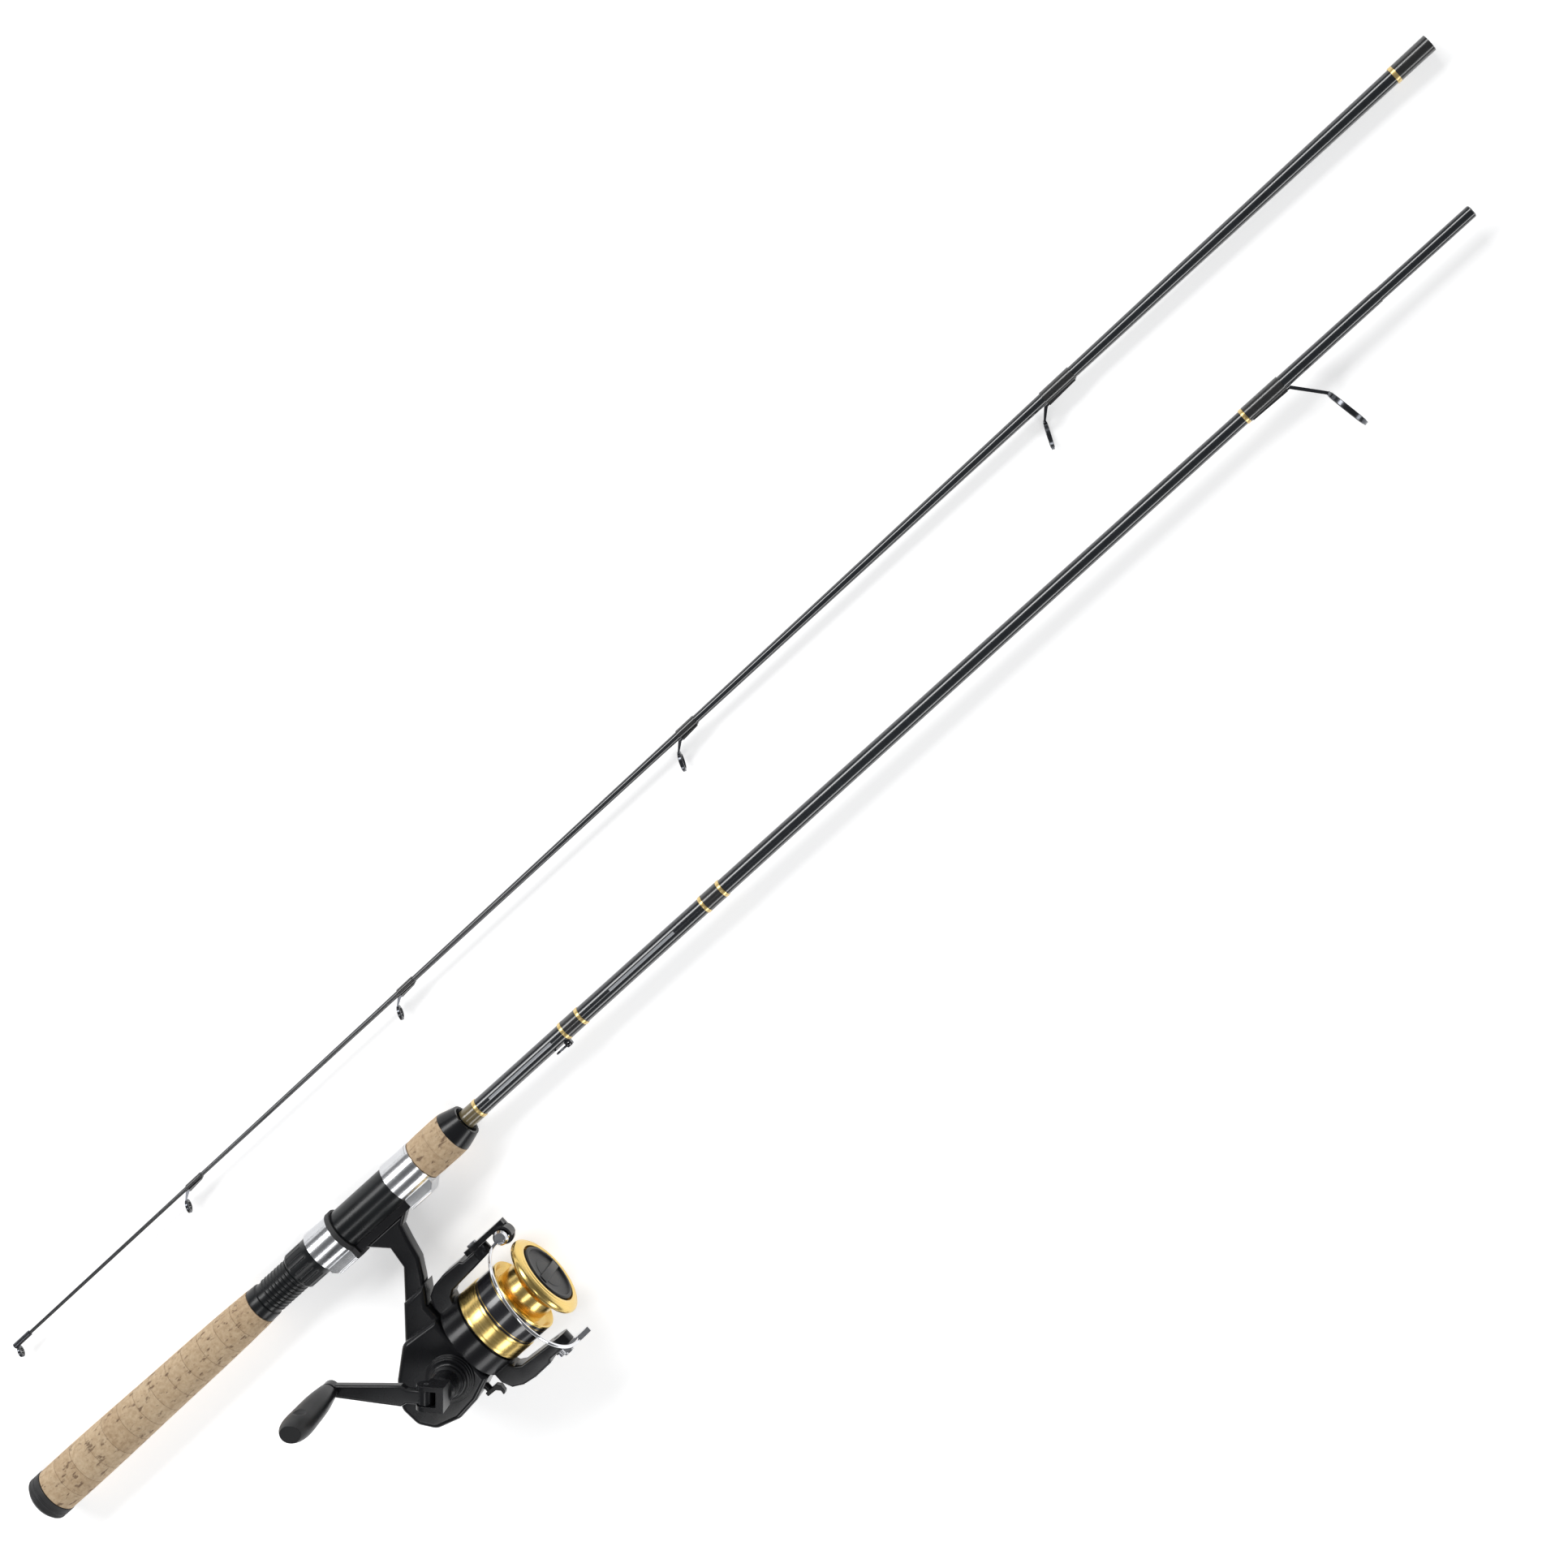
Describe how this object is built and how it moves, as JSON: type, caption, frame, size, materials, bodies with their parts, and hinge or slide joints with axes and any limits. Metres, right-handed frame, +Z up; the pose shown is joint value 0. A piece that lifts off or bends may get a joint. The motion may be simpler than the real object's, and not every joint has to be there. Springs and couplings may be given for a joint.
{
  "type": "spinning rod and reel",
  "caption": "Two-piece spinning fishing rod laid out beside its tip section, with cork grips, a screw-hood seat and a fixed-spool reel with folding crank handle and bail.",
  "frame": {"origin": "centre of the butt cap's end face, on the rod's axis", "axes": "+X along the butt section towards its ferrule end; +Z up from the surface that it lies on; the reel hangs towards -Y with its handle side up, and the tip section lies on the +Y side"},
  "size_m": [1.065, 0.2066, 0.1373],
  "materials": {
    "cork": "satin, fine dark pits",
    "black_rubber": "matt",
    "blank_black": "clear-coated glass and carbon composite",
    "seat_black": "satin moulded",
    "hood_silver": "polished",
    "body_black": "semi-gloss moulded",
    "spool_gold": "bright anodised",
    "band_black": "gloss",
    "chrome": "polished",
    "steel": "machined",
    "brass": "machined",
    "thread_black": "lacquered thread",
    "thread_gold": "lacquered metallic thread",
    "ring_ceramic": "polished",
    "felt": "oiled felt and steel",
    "knob_black": "soft matt"
  },
  "bodies": {
    "rod_and_reel_body": {"butt_cap": "black_rubber", "rear_grip": "cork", "reel_seat": "seat_black", "trim_ring": "black_rubber", "fore_grip": "cork", "winding_check": "seat_black", "butt_blank": "blank_black", "butt_wraps": "thread_black", "butt_gold_trims": "thread_gold", "fixed_hood": "hood_silver", "keeper_strap": "steel", "stripper_frame": "steel", "stripper_ring": "ring_ceramic", "reel_body": "body_black", "side_cover": "body_black", "cover_screws": "steel", "crank_bushes": "steel", "front_bearing": "steel", "gear_stud": "steel"},
    "sliding_hood": {"sliding_hood": "hood_silver", "hood_liner": "black_rubber"},
    "seat_nut": {"seat_nut": "seat_black"},
    "keeper_ring": {"keeper_hook": "steel"},
    "crank": {"drive_gear": "brass", "handle_hub": "body_black", "fold_pin": "steel"},
    "folding_arm": {"handle_arm": "body_black", "knob_pin": "steel"},
    "knob": {"handle_knob": "knob_black"},
    "screw_cap": {"screw_cap": "body_black"},
    "oscillating_gear": {"oscillating_gear": "brass"},
    "rotor": {"rotor": "body_black", "pinion_gear": "brass", "rotor_nut": "steel", "pivot_screws": "chrome"},
    "bail": {"bail_arm": "body_black", "bail_wire": "chrome", "bail_holder": "chrome", "roller_screw": "chrome"},
    "line_roller": {"line_roller": "chrome"},
    "spool_carriage": {"main_shaft": "steel", "oscillating_slider": "brass"},
    "spool": {"spool": "spool_gold", "spool_band": "band_black", "drag_washers": "felt"},
    "drag_knob": {"drag_knob": "body_black"},
    "anti_reverse_lever": {"anti_reverse_lever": "body_black"},
    "tip_section": {"tip_blank": "blank_black", "ferrule_gold_trim": "thread_gold", "tip_wraps": "thread_black", "tip_top": "steel", "tip_top_ring": "ring_ceramic", "guide_1_frame": "steel", "guide_1_ring": "ring_ceramic", "guide_2_frame": "steel", "guide_2_ring": "ring_ceramic", "guide_3_frame": "steel", "guide_3_ring": "ring_ceramic", "guide_4_frame": "steel", "guide_4_ring": "ring_ceramic"}
  },
  "joints": [
    {"name": "crank_turn", "type": "hinge", "parent": "rod_and_reel_body", "child": "crank", "pos_m": [0.234, -0.09494, 0.01726], "axis": [0, 0.1788, 0.9839], "continuous": true},
    {"name": "rotor_turn", "type": "hinge", "parent": "rod_and_reel_body", "child": "rotor", "pos_m": [0.25, -0.08855, 0.0161], "axis": [1, 0, 0], "continuous": true},
    {"name": "oscillating_gear_turn", "type": "hinge", "parent": "rod_and_reel_body", "child": "oscillating_gear", "pos_m": [0.2167, -0.09494, 0.01726], "axis": [0, 0.1788, 0.9839], "continuous": true},
    {"name": "handle_fold", "type": "hinge", "parent": "crank", "child": "folding_arm", "pos_m": [0.2304, -0.08339, 0.0614], "axis": [-0.6947, -0.7077, 0.1286], "range_deg": [0, 25]},
    {"name": "knob_spin", "type": "hinge", "parent": "folding_arm", "child": "knob", "pos_m": [0.193, -0.0466, 0.06183], "axis": [0, 0.1788, 0.9839], "continuous": true},
    {"name": "screw_cap_turn", "type": "hinge", "parent": "crank", "child": "screw_cap", "pos_m": [0.234, -0.10031, -0.01226], "axis": [0, 0.1788, 0.9839], "range_deg": [0, 1080]},
    {"name": "bail_flip", "type": "hinge", "parent": "rotor", "child": "bail", "pos_m": [0.288, -0.08855, 0.0161], "axis": [0, 0.9839, -0.1788], "range_deg": [0, 105]},
    {"name": "line_roller_spin", "type": "hinge", "parent": "bail", "child": "line_roller", "pos_m": [0.304, -0.05805, 0.01055], "axis": [0, 0.1788, 0.9839], "continuous": true},
    {"name": "spool_stroke", "type": "slide", "parent": "rod_and_reel_body", "child": "spool_carriage", "axis": [1, 0, 0], "range_m": [0, 0.008]},
    {"name": "spool_slip", "type": "hinge", "parent": "spool_carriage", "child": "spool", "pos_m": [0.2645, -0.08855, 0.0161], "axis": [1, 0, 0], "continuous": true},
    {"name": "drag_knob_turn", "type": "hinge", "parent": "spool_carriage", "child": "drag_knob", "pos_m": [0.3098, -0.08855, 0.0161], "axis": [1, 0, 0], "range_deg": [-720, 720]},
    {"name": "anti_reverse_flip", "type": "hinge", "parent": "rod_and_reel_body", "child": "anti_reverse_lever", "pos_m": [0.24, -0.11315, 0.02057], "axis": [0, 0.9839, -0.1788], "range_deg": [0, 30]},
    {"name": "nut_turn", "type": "hinge", "parent": "sliding_hood", "child": "seat_nut", "pos_m": [0.2039, 0, 0], "axis": [1, 0, 0], "range_deg": [-1728.2, 0]},
    {"name": "hood_slide", "type": "slide", "parent": "rod_and_reel_body", "child": "sliding_hood", "axis": [1, 0, 0], "range_m": [-0.012, 0]},
    {"name": "keeper_fold", "type": "hinge", "parent": "rod_and_reel_body", "child": "keeper_ring", "pos_m": [0.4038, -0.00637, 0.00116], "axis": [0, 0.1788, 0.9839], "range_deg": [0, 90]},
    {"name": "tip_section_lift", "type": "slide", "parent": "rod_and_reel_body", "child": "tip_section", "axis": [0, 0, 1], "range_m": [0, 0.3]}
  ],
  "couplings": [
    {"joint": "rotor_turn", "follows": "crank_turn", "ratio": -5.2857},
    {"joint": "oscillating_gear_turn", "follows": "crank_turn", "ratio": -1.125},
    {"joint": "nut_turn", "follows": "hood_slide", "rad_per_m": 2513.3}
  ]
}
